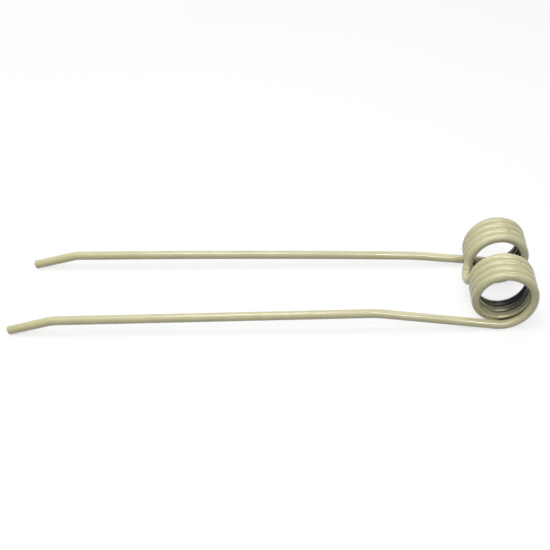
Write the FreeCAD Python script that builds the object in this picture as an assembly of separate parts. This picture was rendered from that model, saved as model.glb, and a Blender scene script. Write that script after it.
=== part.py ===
import FreeCAD, Part
import math
import os
from FreeCAD import Rotation, Vector

# Hay rake spring tine: one length of round spring wire, bent cold into a mirrored pair of tines.
# Each tine leaves the outer end of its own coil, and a U-shaped bridge joins the two inner ends.
# The origin is on the coil axis, midway between the coils. The axis lies along Y, the tines run
# towards -X, and the part lies on the coils' undersides and the two turned-down tips.

# Driving dimensions, in millimetres and degrees
WIRE_DIAMETER = 9.0
TIP_EDGE_RADIUS = 1.0

# Coils, with closed turns, and the bridge that leaves each of them short of its leftmost point
COIL_MEAN_RADIUS = 29.2
TURN_CLEARANCE = 0.3
FULL_TURNS = 3
COIL_ARC_ANGLE = 45.0
BRIDGE_WIDTH = 27.8
BRIDGE_LEG = 4.8
BRIDGE_LIFT = 16.2

# The outermost part of each coil opens away from its neighbour before the tine leaves it
LEAD_ANGLE = 110.0
LEAD_OPENING = 2.3
LEAD_SET_RADIUS = 15.0

# Tines: developed length from coil to tip, spread in plan, and the turned-down tip
TINE_LENGTH = 492.05
TINE_SPREAD = 0.0
SPREAD_BEND_RADIUS = 40.0
TIP_LENGTH = 42.85
TIP_BEND_RADIUS = 32.0
TIP_BEND = 13.98

# The two roots were bent differently: the near one sharply, the far one gradually and nearer the coil
NEAR_ROOT_RISE = 7.94
NEAR_ROOT_LENGTH = 113.2
NEAR_ROOT_BEND_RADIUS = 104.0
NEAR_ROOT_BEND = 8.97
NEAR_BOW = 0.0

FAR_ROOT_RISE = 5.99
FAR_ROOT_LENGTH = 61.7
FAR_ROOT_BEND_RADIUS = 330.0
FAR_ROOT_BEND = 4.82
FAR_BOW = 1.5

# Derived values
FULL_CIRCLE = 360.0
PITCH = WIRE_DIAMETER + TURN_CLEARANCE
LEAD_PITCH = PITCH + LEAD_OPENING * FULL_CIRCLE / LEAD_ANGLE
LEFTMOST_ANGLE = 180.0
LOWEST_ANGLE = -90.0
BRIDGE_ANGLE = LEFTMOST_ANGLE + FULL_TURNS * FULL_CIRCLE - BRIDGE_LIFT
DOWN = Vector(0, 0, -1)
INWARD = Vector(0, -1, 0)
OUTWARD = Vector(0, 1, 0)


class WirePath:
    """A centre line that grows from one end: each move starts where, and as, the last one ended."""

    def __init__(self, point, direction):
        self.point = point
        self.direction = direction.normalize()
        self.edges = []
        self.length = 0.0

    def straight(self, length):
        end = self.point + self.direction * length
        self.edges.append(Part.LineSegment(self.point, end).toShape())
        self.length += length
        self.point = end

    def run(self, length, bow, towards):
        """Go on for a length, straight or with a slight even bow through the given angle."""
        if bow == 0:
            self.straight(length)
        else:
            self.bend(length / math.radians(abs(bow)), bow, towards)

    def bend(self, radius, angle, towards):
        """Turn through an angle towards the given direction, or away from it where it is negative."""
        if angle < 0:
            towards = towards * -1
            angle = -angle
        side = (towards - self.direction * self.direction.dot(towards)).normalize()
        centre = self.point + side * radius
        axis = self.direction.cross(side)
        half_turn = Rotation(axis, angle / 2)
        whole_turn = Rotation(axis, angle)
        middle = centre + half_turn.multVec(self.point - centre)
        end = centre + whole_turn.multVec(self.point - centre)
        self.edges.append(Part.Arc(self.point, middle, end).toShape())
        self.length += radius * math.radians(angle)
        self.point = end
        self.direction = whole_turn.multVec(self.direction).normalize()

    def coil(self, pitch, angle):
        """Wind round the Y axis and outwards along it, as a chain of arcs that meet on a helix."""
        slope = math.radians(slope_of(pitch))
        turned = 0.0
        while turned < angle:
            span = min(COIL_ARC_ANGLE, angle - turned)
            turn = math.radians(span)
            bend = math.acos(math.sin(slope) ** 2 + math.cos(turn) * math.cos(slope) ** 2)
            half_chord = COIL_MEAN_RADIUS * math.tan(turn / 2)
            radius = half_chord / (math.cos(slope) * math.tan(bend / 2))
            ahead = Rotation(OUTWARD, span).multVec(self.direction)
            self.bend(radius, math.degrees(bend), ahead)
            turned += span


def slope_of(pitch):
    """Angle between a coil's wire, where two of its arcs meet, and the plane across its axis."""
    advance = pitch * COIL_ARC_ANGLE / FULL_CIRCLE
    chord = 2 * COIL_MEAN_RADIUS * math.tan(math.radians(COIL_ARC_ANGLE / 2))
    return math.degrees(math.atan2(advance, chord))


def towards_axis(point):
    return Vector(-point.x, 0, -point.z)


def coil_start():
    """Where the coil begins at its bridge end: the point and the outward direction."""
    angle = math.radians(BRIDGE_ANGLE)
    point = Vector(
        COIL_MEAN_RADIUS * math.cos(angle),
        BRIDGE_WIDTH / 2,
        COIL_MEAN_RADIUS * math.sin(angle),
    )
    slope = math.radians(slope_of(PITCH))
    direction = Vector(
        math.cos(slope) * math.sin(angle),
        math.sin(slope),
        -math.cos(slope) * math.cos(angle),
    )
    return point, direction


def bridge_half():
    """Half of the bridge, from the coil down its leg and round to the mid-plane."""
    point, outward = coil_start()
    path = WirePath(point, outward * -1)
    path.straight(BRIDGE_LEG)
    slope = slope_of(PITCH)
    bend_radius = path.point.y / math.cos(math.radians(slope))
    path.bend(bend_radius, 90 - slope, INWARD)
    return path


def lead_set():
    """The bend that opens the lead: its angle, its share outwards, and its share round the axis."""
    opening = slope_of(LEAD_PITCH) - slope_of(PITCH)
    round_share = LEAD_SET_RADIUS / COIL_MEAN_RADIUS
    angle = opening / math.sqrt(1 - round_share ** 2)
    return angle, opening, angle * round_share


def coil_and_tine(root_rise, root_length, root_bend_radius, root_bend, bow):
    """One coil and its tine, wound outwards from the bridge and ending at the tip."""
    path = WirePath(*coil_start())
    lead_start = LOWEST_ANGLE - root_rise + LEAD_ANGLE
    set_angle, opening, advance = lead_set()
    path.coil(PITCH, BRIDGE_ANGLE - lead_start - advance)
    inward = towards_axis(path.point).normalize()
    path.bend(LEAD_SET_RADIUS, set_angle, OUTWARD * opening + inward * advance)
    path.coil(LEAD_PITCH, LEAD_ANGLE)
    coiled = path.length
    path.bend(SPREAD_BEND_RADIUS, slope_of(LEAD_PITCH) - TINE_SPREAD, INWARD)
    path.straight(root_length)
    path.bend(root_bend_radius, root_bend, DOWN)
    tip_bend_length = TIP_BEND_RADIUS * math.radians(TIP_BEND)
    main_length = coiled + TINE_LENGTH - path.length - tip_bend_length - TIP_LENGTH
    path.run(main_length, bow, DOWN)
    path.bend(TIP_BEND_RADIUS, TIP_BEND, DOWN)
    path.straight(TIP_LENGTH)
    return path


def mirrored(edges):
    """The same edges on the other side of the mid-plane."""
    return [edge.mirror(Vector(0, 0, 0), INWARD) for edge in edges]


def spring_tine():
    """The whole tine: one round section swept along one centre line, with its cut ends rounded."""
    bridge = bridge_half()
    far = coil_and_tine(FAR_ROOT_RISE, FAR_ROOT_LENGTH, FAR_ROOT_BEND_RADIUS, FAR_ROOT_BEND, FAR_BOW)
    near = coil_and_tine(NEAR_ROOT_RISE, NEAR_ROOT_LENGTH, NEAR_ROOT_BEND_RADIUS, NEAR_ROOT_BEND, NEAR_BOW)
    edges = far.edges + bridge.edges + mirrored(bridge.edges + near.edges)
    centre_line = Part.Wire(Part.__sortEdges__(edges))
    section = Part.Wire([Part.makeCircle(WIRE_DIAMETER / 2, far.point, far.direction)])
    wire = centre_line.makePipeShell([section], True, True)
    cut_ends = [edge for face in wire.Faces if face.Surface.TypeId == "Part::GeomPlane" for edge in face.Edges]
    rounded = wire.makeFillet(TIP_EDGE_RADIUS, cut_ends)
    length = far.length + near.length + 2 * bridge.length
    section_area = math.pi * WIRE_DIAMETER ** 2 / 4
    share = wire.Volume / (length * section_area)
    print("wire length", round(length, 2), "volume over section times length", round(share, 5))
    return rounded


def main():
    os.makedirs("parts", exist_ok=True)
    tine = spring_tine()
    box = tine.optimalBoundingBox()
    print("valid", tine.isValid(), "solids", len(tine.Solids), "faces", len(tine.Faces))
    print("low", round(box.XMin, 2), round(box.YMin, 2), round(box.ZMin, 2))
    print("high", round(box.XMax, 2), round(box.YMax, 2), round(box.ZMax, 2))
    tine.exportStep("parts/spring_tine.step")


main()
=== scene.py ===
"""Looks of a hay rake spring tine: one painted spring wire, a pale floor, soft lamps and the camera."""
import logging
import math
from dataclasses import dataclass, field
from enum import Enum

import bmesh
import bpy
from mathutils import Matrix, Vector


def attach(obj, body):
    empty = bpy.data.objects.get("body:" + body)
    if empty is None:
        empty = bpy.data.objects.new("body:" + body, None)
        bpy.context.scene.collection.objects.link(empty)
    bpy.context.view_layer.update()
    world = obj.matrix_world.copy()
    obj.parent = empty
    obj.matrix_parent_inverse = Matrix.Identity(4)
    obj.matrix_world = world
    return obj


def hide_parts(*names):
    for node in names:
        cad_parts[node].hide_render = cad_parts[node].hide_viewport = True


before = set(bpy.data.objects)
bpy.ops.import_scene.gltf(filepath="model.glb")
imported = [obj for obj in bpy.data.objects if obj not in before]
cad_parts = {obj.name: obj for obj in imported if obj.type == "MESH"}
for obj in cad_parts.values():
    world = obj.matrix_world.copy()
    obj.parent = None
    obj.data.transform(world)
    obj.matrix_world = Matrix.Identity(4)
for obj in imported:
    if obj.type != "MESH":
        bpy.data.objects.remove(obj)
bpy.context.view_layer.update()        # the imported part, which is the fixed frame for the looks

log = logging.getLogger("spring_tine")

MM = 0.001
FULL_CIRCLE = 360.0
QUARTER_TURN = 90.0
LOWEST_ANGLE = -90.0
IMAGE_PIXELS = 550
PIXEL_MIDDLE = 0.5
ROUND_PROFILE = 0.5
CAD_NODE = "spring_tine"
OUTWARD = Vector((0.0, 1.0, 0.0))
DOWN = Vector((0.0, 0.0, -1.0))
UP = Vector((0.0, 0.0, 1.0))
ACROSS_AXIS = (1.0, 0.0, 1.0)
WHITE = (1.0, 1.0, 1.0, 1.0)


def linear(code: str) -> tuple[float, float, float, float]:
    """Turn an sRGB hex colour into the linear colour that a shader takes.

    Args:
        code: The colour as six hex digits.

    Returns:
        Red, green and blue in linear light, and an alpha of one.
    """
    parts = [int(code[i:i + 2], 16) / 255.0 for i in (0, 2, 4)]
    light = [p / 12.92 if p <= 0.04045 else ((p + 0.055) / 1.055) ** 2.4 for p in parts]
    return light[0], light[1], light[2], 1.0


def per_metre(size_mm: float) -> float:
    """Texture scale at which one feature of a pattern measures size_mm millimetres."""
    return 1.0 / (size_mm * MM)


def add_node(tree: bpy.types.NodeTree, kind: str, inputs: dict | None = None,
             **settings: object) -> bpy.types.Node:
    """Add one node, with its settings made and its inputs filled or linked.

    Args:
        tree: The node tree that gets the node.
        kind: The node's type name.
        inputs: Value or source socket for each input, by the input's name or number.
        **settings: Properties of the node itself.

    Returns:
        The new node.
    """
    node = tree.nodes.new(kind)
    for name, value in settings.items():
        setattr(node, name, value)
    for key, value in (inputs or {}).items():
        if isinstance(value, bpy.types.NodeSocket):
            tree.links.new(value, node.inputs[key])
        else:
            node.inputs[key].default_value = value
    return node


def reckon(tree: bpy.types.NodeTree, operation: str,
           *terms: float | bpy.types.NodeSocket) -> bpy.types.NodeSocket:
    """Work out one sum at each point.

    Args:
        tree: The node tree that gets the node.
        operation: The sum's type name.
        *terms: Values or source sockets, in order.

    Returns:
        The socket with the result.
    """
    return add_node(tree, "ShaderNodeMath", dict(enumerate(terms)), operation=operation).outputs[0]


def spread(tree: bpy.types.NodeTree, value: bpy.types.NodeSocket, source: tuple[float, float],
           result: tuple[float, float] = (0.0, 1.0), smooth: bool = False) -> bpy.types.NodeSocket:
    """Carry a value from one range over to another, and hold it at both ends.

    Args:
        tree: The node tree that gets the node.
        value: The value's socket.
        source: The range that the value comes from.
        result: The range that it goes to.
        smooth: Whether it starts and ends gently.

    Returns:
        The socket with the result.
    """
    return add_node(tree, "ShaderNodeMapRange",
                    {"Value": value, "From Min": source[0], "From Max": source[1],
                     "To Min": result[0], "To Max": result[1]},
                    interpolation_type="SMOOTHSTEP" if smooth else "LINEAR").outputs[0]


def blend(tree: bpy.types.NodeTree, share: bpy.types.NodeSocket, first: object,
          second: object) -> bpy.types.NodeSocket:
    """Mix two colours.

    Args:
        tree: The node tree that gets the node.
        share: Share of the second colour.
        first: Colour or source socket.
        second: Colour or source socket.

    Returns:
        The colour socket.
    """
    inputs = {"Factor": share, 6: first, 7: second}
    return add_node(tree, "ShaderNodeMix", inputs, data_type="RGBA").outputs[2]


def noise(tree: bpy.types.NodeTree, place: bpy.types.NodeSocket, size_mm: float,
          detail: float) -> bpy.types.Node:
    """Add random patches.

    Args:
        tree: The node tree that gets the node.
        place: Object coordinates.
        size_mm: Size of one patch, in millimetres.
        detail: How many finer patterns lie over it.

    Returns:
        The noise node.
    """
    inputs = {"Vector": place, "Scale": per_metre(size_mm), "Detail": detail}
    return add_node(tree, "ShaderNodeTexNoise", inputs)


def new_material(name: str) -> tuple[bpy.types.Material, bpy.types.NodeTree]:
    """Make an empty node-based material.

    Args:
        name: The material's name.

    Returns:
        The material and its cleared node tree.
    """
    material = bpy.data.materials.new(name)
    material.use_nodes = True
    material.node_tree.nodes.clear()
    return material, material.node_tree


class Half(Enum):
    """The two halves of the tine, by the side of the mid-plane that they lie on."""

    NEAR = -1
    FAR = 1


class Use(Enum):
    """What a lamp is for: soft light, glints in the gloss, or both."""

    FILL = 1
    GLINT = 2
    BOTH = 3


@dataclass(frozen=True)
class Root:
    """How one tine was set where it leaves its coil, in millimetres and degrees."""

    rise: float
    length: float
    bend_radius: float
    bend: float
    bow: float


@dataclass(frozen=True)
class Coil:
    """Sizes that the shape and the finish of either coil share, in millimetres and degrees."""

    mean_radius: float = 29.2
    pitch: float = 9.3
    start: float = 13.9
    start_angle: float = 163.8
    full_turns: int = 3

    def bridge_angle(self) -> float:
        """Angle at which the wire passes into the bridge, with the full turns counted in."""
        return self.start_angle + self.full_turns * FULL_CIRCLE


@dataclass(frozen=True)
class EnamelOnSpringSteel:
    """Cream alkyd enamel, sprayed wet on oil-tempered spring steel wire.

    Sprayed enamel levels out to a gloss skin with a faint ripple, so the eye sees soft long
    highlights and small glints. Inside the coils the blue-black tempered wire shows where the
    spray came only from the open ends, and the same dark colour is painted shade there too:
    darker the deeper a turn lies, and in the creases between the turns. The wire also shows
    where the skin is chipped.
    """

    enamel: str = "DFDAAD"
    enamel_shade: str = "D3CE9F"
    enamel_tip: str = "DAD49E"
    # Blue-black wire; inside the coils this colour also paints shade.
    steel: str = "26282E"
    roughness: float = 0.32
    specular: float = 0.2
    steel_metallic: float = 0.5
    skin_on_steel: float = 0.1
    coat_roughness: float = 0.14
    coat_ior: float = 1.55
    tone_patch_mm: float = 26.0
    tone_detail: float = 3.0
    tone_low: float = 0.35
    tone_high: float = 0.7
    ripple_mm: float = 4.0
    ripple_detail: float = 2.0
    ripple_depth_mm: float = 0.003
    # The dark inside of the coils: partly blue-black wire, partly painted shade that deepens further into the
    # coil.
    dark_patch_mm: float = 6.0
    dark_detail: float = 4.0
    dark_shift_mm: float = 7.0
    coil: Coil = Coil()
    inside_edge_mm: float = 0.5
    darkest_turn: float = 0.3
    cream_turn: float = 3.4
    far_coil_lag: float = 1.6
    left_side_mm: float = -12.0
    right_side_mm: float = 14.0
    left_falloff: float = 1.1
    right_falloff: float = 2.5
    # Painted shade: a dark line in the creases between the inner turns.
    crease_shade: float = 0.44
    crease_edge: float = 0.04
    last_crease: float = 3.2
    open_face: float = 0.3
    chip_radius_mm: float = 0.8
    chip_outer: float = 1.1
    chip_inner: float = 0.8
    chip_detail: float = 2.0
    chips_mm: tuple[tuple[float, float, float], ...] = (
        (-33.5, 5.4, -3.0), (-27.3, 9.5, 6.8), (9.5, 24.3, 32.2), (13.6, -25.4, 30.8),
        (-32.0, 33.0, 10.0), (20.0, 45.0, 26.5), (-118.0, -54.0, -23.0), (-9.0, 54.5, -29.0))
    tip_start_mm: float = 400.0
    tip_end_mm: float = 480.0

    def material(self) -> bpy.types.Material:
        """Build the finish.

        Returns:
            The node-based material.
        """
        material, tree = new_material("cream_alkyd_enamel_sprayed_on_spring_steel")
        place = add_node(tree, "ShaderNodeTexCoord").outputs["Object"]
        axes = add_node(tree, "ShaderNodeSeparateXYZ", {0: place}).outputs
        turns, crease_shade, turned_in = self.turns_wound(tree, axes)
        # Dark share inside the coils: partly blue-black wire, partly painted shade deep in and in the
        # creases; the chips are real wear.
        wire_and_deep_shade = self.wire_and_deep_shade_share(tree, place, axes, turns, turned_in)
        wire_and_shade_share = reckon(tree, "MAXIMUM", wire_and_deep_shade, crease_shade)
        inside_wire_and_shade = reckon(tree, "MULTIPLY", wire_and_shade_share, self.inside_mask(tree, place))
        steel_and_shade_share = reckon(tree, "MAXIMUM", inside_wire_and_shade, self.chip_mask(tree, place))
        colour = blend(tree, steel_and_shade_share, self.enamel_colour(tree, place, axes), linear(self.steel))
        shader = add_node(tree, "ShaderNodeBsdfPrincipled",
                          {"Base Color": colour,
                           "Metallic": reckon(tree, "MULTIPLY", steel_and_shade_share, self.steel_metallic),
                           "Roughness": self.roughness,
                           "Specular IOR Level": self.specular,
                           "Normal": self.ripple(tree, place),
                           "Coat Weight": spread(tree, steel_and_shade_share, (0.0, 1.0), (1.0, self.skin_on_steel)),
                           "Coat IOR": self.coat_ior,
                           "Coat Roughness": self.coat_roughness})
        add_node(tree, "ShaderNodeOutputMaterial", {"Surface": shader.outputs[0]})
        return material

    def enamel_colour(self, tree: bpy.types.NodeTree, place: bpy.types.NodeSocket,
                      axes: bpy.types.NodeOutputs) -> bpy.types.NodeSocket:
        """Colour of the whole skin, a little uneven in tone and a little greener towards the tips.

        Args:
            tree: The material's nodes.
            place: Object coordinates.
            axes: The same, apart.

        Returns:
            The colour socket.
        """
        patches = noise(tree, place, self.tone_patch_mm, self.tone_detail).outputs[0]
        uneven = spread(tree, patches, (self.tone_low, self.tone_high))
        body = blend(tree, uneven, linear(self.enamel), linear(self.enamel_shade))
        tip = spread(tree, axes["X"], (-self.tip_start_mm * MM, -self.tip_end_mm * MM), smooth=True)
        return blend(tree, tip, body, linear(self.enamel_tip))

    def inside_mask(self, tree: bpy.types.NodeTree, place: bpy.types.NodeSocket) -> bpy.types.NodeSocket:
        """The side of each turn that looks towards the coil's axis.

        Args:
            tree: The material's nodes.
            place: Object coordinates.

        Returns:
            One on that side.
        """
        flat = add_node(tree, "ShaderNodeVectorMath", {0: place, 1: ACROSS_AXIS},
                        operation="MULTIPLY").outputs[0]
        reach = add_node(tree, "ShaderNodeVectorMath", {0: flat}, operation="LENGTH").outputs["Value"]
        outer = (self.coil.mean_radius + self.inside_edge_mm) * MM
        inner = (self.coil.mean_radius - self.inside_edge_mm) * MM
        return spread(tree, reach, (outer, inner), smooth=True)

    def turns_wound(self, tree: bpy.types.NodeTree,
                    axes: bpy.types.NodeOutputs) -> tuple[bpy.types.NodeSocket, ...]:
        """How many turns the wire has made since its bridge, and the painted shade in its creases.

        Args:
            tree: The material's nodes.
            axes: Object coordinates, apart.

        Returns:
            The number of turns, one in the creases between them where shade is painted, and zero on the
            coil's open face.
        """
        around = reckon(tree, "ARCTAN2", axes["Z"], axes["X"])
        wound = reckon(tree, "MULTIPLY_ADD", around, -1.0 / math.tau, self.coil.start_angle / FULL_CIRCLE)
        part_turn = reckon(tree, "FRACT", wound)
        side = reckon(tree, "ABSOLUTE", axes["Y"])
        travel = reckon(tree, "MULTIPLY_ADD", side, per_metre(self.coil.pitch),
                        -self.coil.start / self.coil.pitch)
        offset = reckon(tree, "SUBTRACT", travel, part_turn)
        whole = reckon(tree, "ROUND", offset)
        turns = reckon(tree, "ADD", whole, part_turn)
        off_middle = reckon(tree, "ABSOLUTE", reckon(tree, "SUBTRACT", offset, whole))
        # Painted shade: dark lines in the creases between the inner turns.
        edge = spread(tree, off_middle,
                      (self.crease_shade - self.crease_edge, self.crease_shade + self.crease_edge), smooth=True)
        past_first = reckon(tree, "GREATER_THAN", offset, 0.0)
        before_last = reckon(tree, "LESS_THAN", travel, self.last_crease)
        between = reckon(tree, "MULTIPLY", past_first, before_last)
        crease_shade = reckon(tree, "MULTIPLY", edge, between)
        turned_in = spread(tree, offset, (-self.open_face, 0.0), smooth=True)
        return turns, crease_shade, turned_in

    def wire_and_deep_shade_share(self, tree: bpy.types.NodeTree, place: bpy.types.NodeSocket, axes: bpy.types.NodeOutputs,
                     turns: bpy.types.NodeSocket, turned_in: bpy.types.NodeSocket) -> bpy.types.NodeSocket:
        """Share of the wire's inside that is drawn dark, partly blue-black wire and partly painted shade:
        more deep in, and away from the tines.

        Args:
            tree: The material's nodes.
            place: Object coordinates.
            axes: The same, apart.
            turns: Turns that the wire has made since its bridge.
            turned_in: Zero on the coil's open face, which stays cream.

        Returns:
            The share of blue-black wire and painted shade.
        """
        far = reckon(tree, "GREATER_THAN", axes["Y"], 0.0)
        # Painted shade with the blue-black wire: the deeper the turn lies in the coil, the darker.
        lagged_turns = reckon(tree, "MULTIPLY_ADD", far, -self.far_coil_lag, turns)
        depth = spread(tree, lagged_turns, (self.darkest_turn, self.cream_turn))
        patches = noise(tree, place, self.dark_patch_mm, self.dark_detail).outputs[0]
        shift = spread(tree, patches, (0.0, 1.0), (-self.dark_shift_mm * MM, self.dark_shift_mm * MM))
        across = reckon(tree, "ADD", axes["X"], shift)
        falloff = spread(tree, across, (self.left_side_mm * MM, self.right_side_mm * MM),
                         (self.left_falloff, self.right_falloff), smooth=True)
        cream_share = reckon(tree, "POWER", depth, falloff)
        wire_and_deep_shade = reckon(tree, "SUBTRACT", 1.0, cream_share)
        return reckon(tree, "MULTIPLY", wire_and_deep_shade, turned_in)

    def chip_mask(self, tree: bpy.types.NodeTree, place: bpy.types.NodeSocket) -> bpy.types.NodeSocket:
        """Small chips through the skin, down to the dark wire.

        Args:
            tree: The material's nodes.
            place: Object coordinates.

        Returns:
            One in the chips.
        """
        radius = self.chip_radius_mm * MM
        rough = noise(tree, place, self.chip_radius_mm * 2, self.chip_detail).outputs["Color"]
        ragged = add_node(tree, "ShaderNodeVectorMath", {0: rough, 1: (radius, radius, radius), 2: place},
                          operation="MULTIPLY_ADD").outputs[0]
        share = None
        for chip in self.chips_mm:
            centre = tuple(c * MM + radius / 2 for c in chip)
            away = add_node(tree, "ShaderNodeVectorMath", {0: ragged, 1: centre},
                            operation="DISTANCE").outputs["Value"]
            spot = spread(tree, away, (radius * self.chip_outer, radius * self.chip_inner))
            share = spot if share is None else reckon(tree, "MAXIMUM", share, spot)
        return share

    def ripple(self, tree: bpy.types.NodeTree, place: bpy.types.NodeSocket) -> bpy.types.NodeSocket:
        """The faint ripple of sprayed enamel, drawn coarser than life so that it shows.

        Args:
            tree: The material's nodes.
            place: Object coordinates.

        Returns:
            The normal socket.
        """
        waves = noise(tree, place, self.ripple_mm, self.ripple_detail).outputs[0]
        return add_node(tree, "ShaderNodeBump",
                        {"Height": waves, "Distance": self.ripple_depth_mm * MM, "Strength": 1.0}).outputs[0]


@dataclass(frozen=True)
class PaperFloor:
    """Matt white backdrop paper, rolled out: it shows nothing but a soft shadow.

    Its glow, which only eyes and reflections see, grows where the lamps no longer reach it.
    """

    paper: str = "969696"
    roughness: float = 0.95
    glow: float = 0.76
    lit_reach: float = 0.8
    unlit_reach: float = 3.0

    def material(self) -> bpy.types.Material:
        """Build the finish.

        Returns:
            The node-based material.
        """
        material, tree = new_material("white_backdrop_paper_matt")
        place = add_node(tree, "ShaderNodeTexCoord").outputs["Object"]
        reach = add_node(tree, "ShaderNodeVectorMath", {0: place}, operation="LENGTH").outputs["Value"]
        glow = spread(tree, reach, (self.lit_reach, self.unlit_reach), (self.glow, 1.0))
        strength = reckon(tree, "MULTIPLY", seen_directly(tree), glow)
        shader = add_node(tree, "ShaderNodeBsdfPrincipled",
                          {"Base Color": linear(self.paper), "Roughness": self.roughness,
                           "Specular IOR Level": 0.0, "Emission Color": WHITE, "Emission Strength": strength})
        add_node(tree, "ShaderNodeOutputMaterial", {"Surface": shader.outputs[0]})
        return material


def seen_directly(tree: bpy.types.NodeTree) -> bpy.types.NodeSocket:
    """One for camera, glossy and transmission rays, so that reflections show the backdrop too.

    Args:
        tree: The node tree that gets the nodes.

    Returns:
        The socket with that share.
    """
    path = add_node(tree, "ShaderNodeLightPath")
    either = reckon(tree, "MAXIMUM", path.outputs["Is Camera Ray"], path.outputs["Is Glossy Ray"])
    return reckon(tree, "MAXIMUM", either, path.outputs["Is Transmission Ray"])


class WireSweep:
    """A tube that grows from one open ring: each move starts where, and as, the last one ended."""

    def __init__(self, radius: float, sides: int, point: Vector, direction: Vector) -> None:
        """Place the first ring.

        Args:
            radius: Radius of the wire, in millimetres.
            sides: Edges round the ring.
            point: Centre of the ring, in millimetres.
            direction: The way that the wire sets off.
        """
        self.mesh = bmesh.new()
        self.radius = radius
        self.point = point.copy()
        self.direction = direction.normalized()
        turn = self.direction.to_track_quat("Z", "X").to_matrix().to_4x4()
        placed = Matrix.Translation(self.point) @ turn
        bmesh.ops.create_circle(self.mesh, cap_ends=False, segments=sides, radius=radius, matrix=placed)
        self.ring = list(self.mesh.edges)
        self.length = 0.0

    def straight(self, length: float, steps: int) -> None:
        """Draw the wire straight on.

        Args:
            length: Length of the run, in millimetres.
            steps: Lengths of tube that the run is divided into.
        """
        for _ in range(steps):
            grown = bmesh.ops.extrude_edge_only(self.mesh, edges=self.ring)["geom"]
            corners = [part for part in grown if isinstance(part, bmesh.types.BMVert)]
            self.ring = [part for part in grown if isinstance(part, bmesh.types.BMEdge)]
            bmesh.ops.translate(self.mesh, verts=corners, vec=self.direction * (length / steps))
        self.point += self.direction * length
        self.length += length

    def turn(self, centre: Vector, axis: Vector, angle: float, steps: int, rise: float = 0.0) -> None:
        """Turn the ring about an axis, and along it where the wire winds.

        Args:
            centre: A point on the axis, in millimetres.
            axis: The axis, of unit length.
            angle: Angle of the turn, in degrees.
            steps: Lengths of tube that the turn is divided into.
            rise: Travel along the axis over the whole turn, in millimetres.
        """
        angle = math.radians(angle)
        swept = bmesh.ops.spin(self.mesh, geom=self.ring, cent=centre, axis=axis, dvec=axis * (rise / steps),
                               angle=angle, steps=steps, use_duplicate=False)
        self.ring = [part for part in swept["geom_last"] if isinstance(part, bmesh.types.BMEdge)]
        rotation = Matrix.Rotation(angle, 3, axis)
        arm = self.point - centre
        self.point = centre + rotation @ arm + axis * rise
        self.direction = (rotation @ self.direction).normalized()
        across = (arm - axis * arm.dot(axis)).length
        self.length += math.hypot(across * angle, rise)

    def bend(self, radius: float, angle: float, towards: Vector, steps: int) -> None:
        """Bend the wire evenly.

        Args:
            radius: Radius of the bend's centre line, in millimetres.
            angle: Angle of the bend, in degrees.
            towards: The side that it bends to.
            steps: Lengths of tube that the bend is divided into.
        """
        side = (towards - self.direction * self.direction.dot(towards)).normalized()
        self.turn(self.point + side * radius, self.direction.cross(side), angle, steps)

    def wind(self, pitch: float, angle: float, step_angle: float) -> None:
        """Wind the wire round the coil axis and outwards along it.

        Args:
            pitch: Travel along the axis per turn, in millimetres.
            angle: Angle wound, in degrees.
            step_angle: Angle of one length of tube, in degrees.
        """
        steps = math.ceil(angle / step_angle)
        self.turn(Vector((0.0, 0.0, 0.0)), OUTWARD, angle, steps, pitch * angle / FULL_CIRCLE)

    def cut_end(self, edge_radius: float, steps: int) -> None:
        """Close the open ring with a flat cut, and round the cut's edge.

        Args:
            edge_radius: Radius of the rounded edge, in millimetres.
            steps: Facets that the rounded edge is divided into.
        """
        bmesh.ops.edgeloop_fill(self.mesh, edges=self.ring)
        bmesh.ops.bevel(self.mesh, geom=self.ring, offset=edge_radius, offset_type="OFFSET", segments=steps,
                        profile=ROUND_PROFILE, affect="EDGES", material=-1)


@dataclass(frozen=True)
class Steps:
    """Lengths of tube that each stretch of the wire is divided into."""

    bridge: int = 28
    leg: int = 2
    lead_set: int = 2
    plan_bend: int = 4
    root: int = 4
    root_bend: int = 10
    straight_tine: int = 12
    bowed_tine: int = 16
    tip_bend: int = 8
    tip: int = 3
    cut_edge: int = 4


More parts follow.
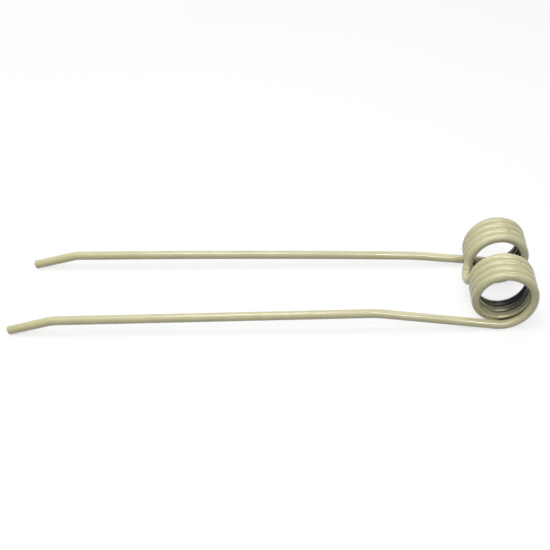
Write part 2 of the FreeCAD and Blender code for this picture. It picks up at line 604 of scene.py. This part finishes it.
@dataclass
class SpringWire:
    """The double tine itself: two close-wound coils, the bridge between them and the two tines.

    Sizes are in millimetres and degrees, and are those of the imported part, except that the opening
    of each coil's last part is a little smaller, which keeps the wire inside the part's box.
    """

    wire_diameter: float = 9.0
    tip_edge_radius: float = 1.0
    coil: Coil = Coil()
    bridge_leg: float = 4.8
    arc_angle: float = 45.0
    lead_angle: float = 110.0
    lead_opening: float = 2.23
    lead_set_radius: float = 15.0
    plan_bend_radius: float = 40.0
    tine_length: float = 492.05
    tip_length: float = 42.85
    tip_bend_radius: float = 32.0
    tip_bend: float = 13.98
    seam_gap: float = 0.001
    sides: int = 48
    coil_step: float = 4.0
    steps: Steps = Steps()
    roots: dict[Half, Root] = field(default_factory=lambda: {
        Half.NEAR: Root(rise=7.94, length=113.2, bend_radius=104.0, bend=8.97, bow=0.0),
        Half.FAR: Root(rise=5.99, length=61.7, bend_radius=330.0, bend=4.82, bow=1.5),
    })
    finish: EnamelOnSpringSteel = EnamelOnSpringSteel()

    def slope(self, pitch: float) -> float:
        """Angle between the wound wire and the plane across the coil's axis, in degrees.

        Args:
            pitch: Travel along the axis per turn, in millimetres.

        Returns:
            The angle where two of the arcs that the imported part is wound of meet.
        """
        chord = 2 * self.coil.mean_radius * math.tan(math.radians(self.arc_angle / 2))
        return math.degrees(math.atan2(pitch * self.arc_angle / FULL_CIRCLE, chord))

    def lead_pitch(self) -> float:
        """Travel per turn of a coil's last part, which opens away from the turn before it."""
        return self.coil.pitch + self.lead_opening * FULL_CIRCLE / self.lead_angle

    def coil_start(self) -> tuple[Vector, Vector]:
        """Find where the coil begins at its bridge end.

        Returns:
            The point, in millimetres, and the direction that the wire winds off in.
        """
        angle = math.radians(self.coil.bridge_angle())
        slope = math.radians(self.slope(self.coil.pitch))
        point = Vector((math.cos(angle), 0.0, math.sin(angle))) * self.coil.mean_radius
        point.y = self.coil.start
        around = Vector((math.sin(angle), 0.0, -math.cos(angle)))
        return point, around * math.cos(slope) + OUTWARD * math.sin(slope)

    def bridge_middle(self) -> tuple[Vector, float]:
        """Find the bridge's lowest point, on the mid-plane.

        Returns:
            The point, in millimetres, and the radius of the bridge's bend.
        """
        start, wound = self.coil_start()
        leg_end = start - wound * self.bridge_leg
        slope = math.radians(self.slope(self.coil.pitch))
        radius = leg_end.y / math.cos(slope)
        inward = (OUTWARD * -1 + wound * wound.dot(OUTWARD)).normalized()
        turned = math.radians(QUARTER_TURN) - slope
        point = leg_end - wound * (radius * math.sin(turned)) + inward * (radius * (1 - math.cos(turned)))
        point.y = 0.0
        return point, radius

    def half(self, root: Root) -> WireSweep:
        """Draw one half of the wire, from the mid-plane to the cut end of its tine.

        Args:
            root: How this tine was set at its coil.

        Returns:
            The swept half, on the far side of the mid-plane.
        """
        middle, bridge_radius = self.bridge_middle()
        wound = self.coil_start()[1]
        sweep = WireSweep(self.wire_diameter / 2, self.sides, middle, OUTWARD)
        sweep.bend(bridge_radius, QUARTER_TURN - self.slope(self.coil.pitch), wound, self.steps.bridge)
        sweep.straight(self.bridge_leg, self.steps.leg)
        self.wind_coil(sweep, root)
        self.draw_tine(sweep, root)
        return sweep

    def wind_coil(self, sweep: WireSweep, root: Root) -> None:
        """Wind one coil, and open its last part away from the turn before it.

        Args:
            sweep: The wire, drawn as far as the coil.
            root: How the tine was set at this coil.
        """
        opening = self.slope(self.lead_pitch()) - self.slope(self.coil.pitch)
        share = self.lead_set_radius / self.coil.mean_radius
        set_angle = opening / math.sqrt(1 - share ** 2)
        advance = set_angle * share
        lead_start = LOWEST_ANGLE - root.rise + self.lead_angle
        sweep.wind(self.coil.pitch, self.coil.bridge_angle() - lead_start - advance, self.coil_step)
        inward = Vector((-sweep.point.x, 0.0, -sweep.point.z)).normalized()
        sweep.bend(self.lead_set_radius, set_angle, OUTWARD * opening + inward * advance, self.steps.lead_set)
        sweep.wind(self.lead_pitch(), self.lead_angle, self.coil_step)

    def draw_tine(self, sweep: WireSweep, root: Root) -> None:
        """Draw one tine, from its coil to its cut end.

        Args:
            sweep: The wire, drawn as far as the tine.
            root: How this tine was set at its coil.
        """
        coiled = sweep.length
        sweep.bend(self.plan_bend_radius, self.slope(self.lead_pitch()), OUTWARD * -1, self.steps.plan_bend)
        sweep.straight(root.length, self.steps.root)
        sweep.bend(root.bend_radius, root.bend, DOWN, self.steps.root_bend)
        tip_bend_length = self.tip_bend_radius * math.radians(self.tip_bend)
        main_length = coiled + self.tine_length - sweep.length - tip_bend_length - self.tip_length
        if root.bow:
            sweep.bend(main_length / math.radians(root.bow), root.bow, DOWN, self.steps.bowed_tine)
        else:
            sweep.straight(main_length, self.steps.straight_tine)
        sweep.bend(self.tip_bend_radius, self.tip_bend, DOWN, self.steps.tip_bend)
        sweep.straight(self.tip_length, self.steps.tip)
        sweep.cut_end(self.tip_edge_radius, self.steps.cut_edge)

    def build(self) -> bpy.types.Object:
        """Draw both halves and join them into one closed wire.

        Returns:
            The finished piece.
        """
        data = bpy.data.meshes.new("spring_wire")
        whole = bmesh.new()
        for half in Half:
            sweep = self.half(self.roots[half])
            bmesh.ops.scale(sweep.mesh, verts=sweep.mesh.verts, vec=(MM, half.value * MM, MM))
            sweep.mesh.to_mesh(data)
            sweep.mesh.free()
            whole.from_mesh(data)
            log.info("%s half: %.1f mm of wire", half.name.lower(), sweep.length)
        bmesh.ops.remove_doubles(whole, verts=whole.verts, dist=self.seam_gap * MM)
        bmesh.ops.recalc_face_normals(whole, faces=whole.faces)
        for face in whole.faces:
            face.smooth = True
        whole.to_mesh(data)
        whole.free()
        piece = bpy.data.objects.new("spring_wire", data)
        bpy.context.scene.collection.objects.link(piece)
        self.dress(piece)
        return piece

    def dress(self, piece: bpy.types.Object) -> None:
        """Give the piece its finish, and its place in the frame.

        Args:
            piece: The finished piece.
        """
        piece.data.materials.clear()
        piece.data.materials.append(self.finish.material())
        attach(piece, "root")
        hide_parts(CAD_NODE)


@dataclass
class Studio:
    """The floor that the tine lies on, and the lamps over it. Sizes are in metres and watts."""

    floor_height: float = -0.0337
    floor_size: float = 6.0
    finish: PaperFloor = PaperFloor()
    sky: float = 0.1
    panel_size: tuple[float, float] = (2.4, 1.6)
    panel_place: tuple[float, float, float] = (-0.8, 0.2, 1.65)
    panel_power: float = 13.4
    softbox_size: tuple[float, float] = (0.5, 0.6)
    softbox_place: tuple[float, float, float] = (-0.51, 0.0, 1.6)
    softbox_power: float = 6.4
    back_lamp_size: tuple[float, float] = (0.35, 0.35)
    back_lamp_place: tuple[float, float, float] = (0.5, 1.1, 1.6)
    back_lamp_power: float = 2.5
    fill_size: tuple[float, float] = (1.2, 0.3)
    fill_place: tuple[float, float, float] = (-0.1, -1.0, 1.6)
    fill_power: float = 12.0
    row_lamps: int = 3
    row_spacing: float = 0.35
    row_place: tuple[float, float, float] = (0.42, -1.0, 1.6)
    row_size: float = 0.14
    row_power: float = 6.5

    def build(self) -> None:
        """Lay the floor, hang the lamps and set the sky."""
        self.lay_floor()
        self.hang_lamp("panel", self.panel_place, self.panel_size, self.panel_power)
        self.hang_lamp("softbox", self.softbox_place, self.softbox_size, self.softbox_power)
        self.hang_lamp("back_lamp", self.back_lamp_place, self.back_lamp_size, self.back_lamp_power)
        self.hang_lamp("front_fill", self.fill_place, self.fill_size, self.fill_power, Use.FILL)
        for number in range(self.row_lamps):
            offset = (number - (self.row_lamps - 1) / 2) * self.row_spacing
            place = (self.row_place[0] + offset, self.row_place[1], self.row_place[2])
            size = (self.row_size, self.row_size)
            self.hang_lamp(f"row_lamp_{number + 1}", place, size, self.row_power, Use.GLINT)
        self.set_sky()

    def lay_floor(self) -> None:
        """Lay the plain floor under the tine."""
        mesh = bmesh.new()
        bmesh.ops.create_grid(mesh, x_segments=1, y_segments=1, size=self.floor_size)
        bmesh.ops.translate(mesh, verts=mesh.verts, vec=(0.0, 0.0, self.floor_height))
        data = bpy.data.meshes.new("floor")
        mesh.to_mesh(data)
        mesh.free()
        data.materials.append(self.finish.material())
        floor = bpy.data.objects.new("floor", data)
        bpy.context.scene.collection.objects.link(floor)

    def hang_lamp(self, name: str, place: tuple[float, float, float], size: tuple[float, float],
                  power: float, use: Use = Use.BOTH) -> None:
        """Hang one lamp that shines straight down.

        Args:
            name: The lamp's name.
            place: Where it hangs.
            size: Its width and depth.
            power: Its power.
            use: What the lamp is for.
        """
        data = bpy.data.lights.new(name, "AREA")
        data.shape = "RECTANGLE"
        data.size, data.size_y = size
        data.energy = power
        lamp = bpy.data.objects.new(name, data)
        lamp.location = place
        lamp.visible_diffuse = use is not Use.GLINT
        lamp.visible_glossy = use is not Use.FILL
        bpy.context.scene.collection.objects.link(lamp)

    def set_sky(self) -> None:
        """Light from all round, white where it is seen directly."""
        world = bpy.data.worlds.new("studio")
        world.use_nodes = True
        tree = world.node_tree
        tree.nodes.clear()
        strength = spread(tree, seen_directly(tree), (0.0, 1.0), (self.sky, 1.0))
        light = add_node(tree, "ShaderNodeBackground", {"Color": WHITE, "Strength": strength})
        add_node(tree, "ShaderNodeOutputWorld", {"Surface": light.outputs[0]})
        bpy.context.scene.world = world


@dataclass(frozen=True)
class PhotoCamera:
    """The camera of the photograph, in degrees, millimetres and pixels of its frame."""

    azimuth: float = -3.45
    elevation: float = 48.558
    roll: float = 1.802
    position: tuple[float, float, float] = (-156.293, -597.143, 496.072)
    centre: tuple[float, float] = (378.75, 387.44)
    focal: float = 746.537
    nearest: float = 10.0

    def build(self) -> bpy.types.Object:
        """Set the camera up.

        Returns:
            The scene's camera.
        """
        azimuth, elevation, roll = (math.radians(a) for a in (self.azimuth, self.elevation, self.roll))
        back = Vector((math.sin(azimuth) * math.cos(elevation), -math.cos(azimuth) * math.cos(elevation),
                       math.sin(elevation)))
        level = (back * -1).cross(UP).normalized()
        upright = back.cross(level)
        right = level * math.cos(roll) + upright * math.sin(roll)
        up = upright * math.cos(roll) - level * math.sin(roll)
        data = bpy.data.cameras.new("photo_camera")
        data.lens = self.focal / IMAGE_PIXELS * data.sensor_width
        data.shift_x = (IMAGE_PIXELS / 2 - (self.centre[0] + PIXEL_MIDDLE)) / IMAGE_PIXELS
        data.shift_y = ((self.centre[1] + PIXEL_MIDDLE) - IMAGE_PIXELS / 2) / IMAGE_PIXELS
        data.clip_start = self.nearest * MM
        camera = bpy.data.objects.new("photo_camera", data)
        turned = Matrix((right, up, back)).transposed().to_4x4()
        camera.matrix_world = Matrix.Translation(Vector(self.position) * MM) @ turned
        bpy.context.scene.collection.objects.link(camera)
        bpy.context.scene.camera = camera
        return camera


def main() -> None:
    """Build the camera, the studio and the tine in turn, and log the tine's faces."""
    logging.basicConfig(level=logging.INFO, format="%(message)s")
    bpy.context.scene.view_settings.view_transform = "Standard"
    PhotoCamera().build()
    Studio().build()
    wire = SpringWire().build()
    log.info("%s: %d faces", wire.name, len(wire.data.polygons))


if __name__ == "__main__":
    main()
